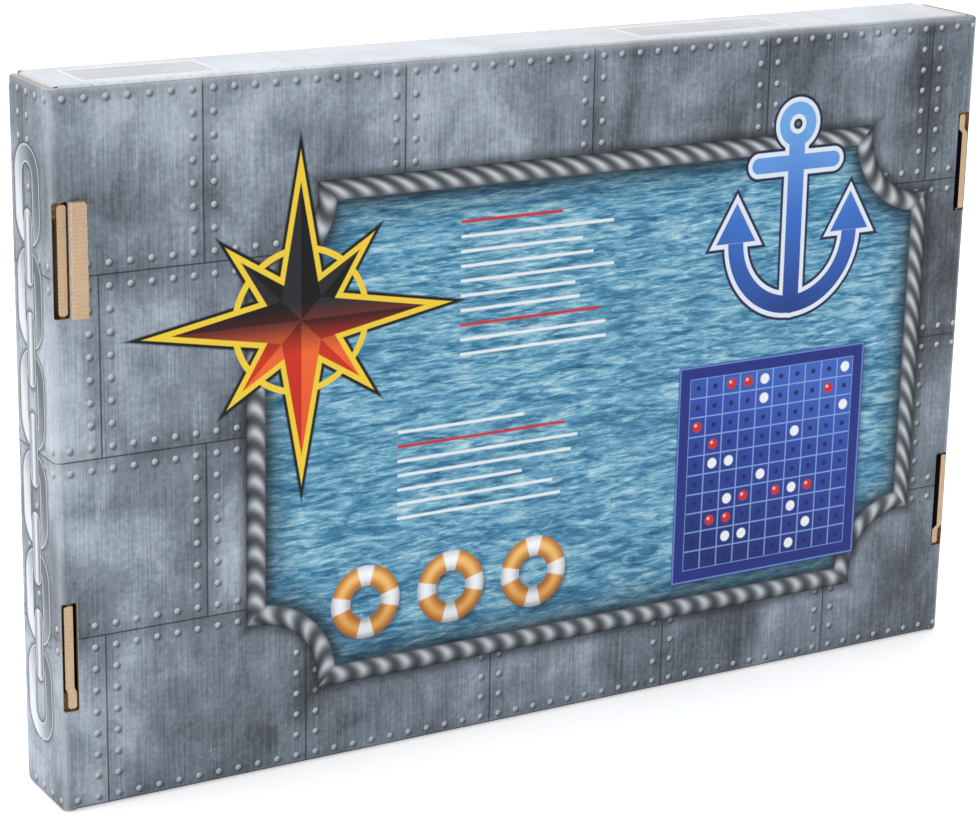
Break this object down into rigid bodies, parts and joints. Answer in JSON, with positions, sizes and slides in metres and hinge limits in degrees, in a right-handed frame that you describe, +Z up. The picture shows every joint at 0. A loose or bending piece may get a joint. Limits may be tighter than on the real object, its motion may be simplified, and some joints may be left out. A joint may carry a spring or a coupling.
{
  "type": "boxed fleet guessing game",
  "caption": "Folded corrugated carton with tab-locked rolled ends and a tuck-in lid, holding two closed hinged peg-board game sets with ships, pegs and clear screens.",
  "frame": {"origin": "on the standing surface, under the middle of the carton as it stands on its long edge", "axes": "+X along the long side, +Y from the pictured back panel towards the lid, +Z up"},
  "size_m": [0.37, 0.0378, 0.2443],
  "materials": {
    "carton_print": "litho-printed liner under a satin varnish, on fine-flute corrugated board",
    "carton_kraft": "bare brown liner and cut edges of fine-flute corrugated board",
    "set_plastic": "moulded plastic in deep blue",
    "screen_plastic": "clear moulded plastic",
    "key_card": "printed card",
    "ship_plastic": "moulded plastic in mid blue",
    "white_peg": "moulded plastic in white",
    "red_peg": "moulded plastic in red"
  },
  "bodies": {
    "carton": {"back_panel": "carton_print", "top_wall": "carton_print", "bottom_wall": "carton_print", "left_outer_end": "carton_print", "right_outer_end": "carton_print", "left_inner_end": "carton_kraft", "right_inner_end": "carton_kraft", "left_top_corner_flap": "carton_kraft", "left_bottom_corner_flap": "carton_kraft", "right_top_corner_flap": "carton_kraft", "right_bottom_corner_flap": "carton_kraft", "set_a_base": "set_plastic", "set_a_lid": "set_plastic", "set_a_screen": "screen_plastic", "set_a_key_cards": "key_card", "set_a_torpedo_boats": "ship_plastic", "set_a_destroyers": "ship_plastic", "set_a_submarine": "ship_plastic", "set_a_cruiser": "ship_plastic", "set_a_carrier": "ship_plastic", "set_a_white_pegs_1": "white_peg", "set_a_white_pegs_2": "white_peg", "set_a_white_pegs_3": "white_peg", "set_a_white_pegs_4": "white_peg", "set_a_red_pegs": "red_peg", "set_b_base": "set_plastic", "set_b_lid": "set_plastic", "set_b_screen": "screen_plastic", "set_b_key_cards": "key_card", "set_b_torpedo_boats": "ship_plastic", "set_b_destroyers": "ship_plastic", "set_b_submarine": "ship_plastic", "set_b_cruiser": "ship_plastic", "set_b_carrier": "ship_plastic", "set_b_white_pegs_1": "white_peg", "set_b_white_pegs_2": "white_peg", "set_b_white_pegs_3": "white_peg", "set_b_white_pegs_4": "white_peg", "set_b_red_pegs": "red_peg"},
    "lid": {"front_lid_panel": "carton_print"},
    "tuck": {"tuck_flap": "carton_print"},
    "slot_cut_out": {"slot_flap": "carton_kraft"}
  },
  "joints": [
    {"name": "lid_hinge", "type": "hinge", "parent": "carton", "child": "lid", "pos_m": [0, 0.0171, 0.24427], "axis": [1, 0, 0], "range_deg": [0, 180]},
    {"name": "tuck_flap_fold", "type": "hinge", "parent": "lid", "child": "tuck", "pos_m": [0, 0.0171, 0.0026], "axis": [1, 0, 0], "range_deg": [0, 45]},
    {"name": "slot_flap_fold", "type": "hinge", "parent": "carton", "child": "slot_cut_out", "pos_m": [-0.1786, -0.0171, 0.189], "axis": [0, 0, -1], "range_deg": [0, 90]}
  ],
  "couplings": [
    {"joint": "tuck_flap_fold", "follows": "lid_hinge", "ratio": 0.25}
  ]
}
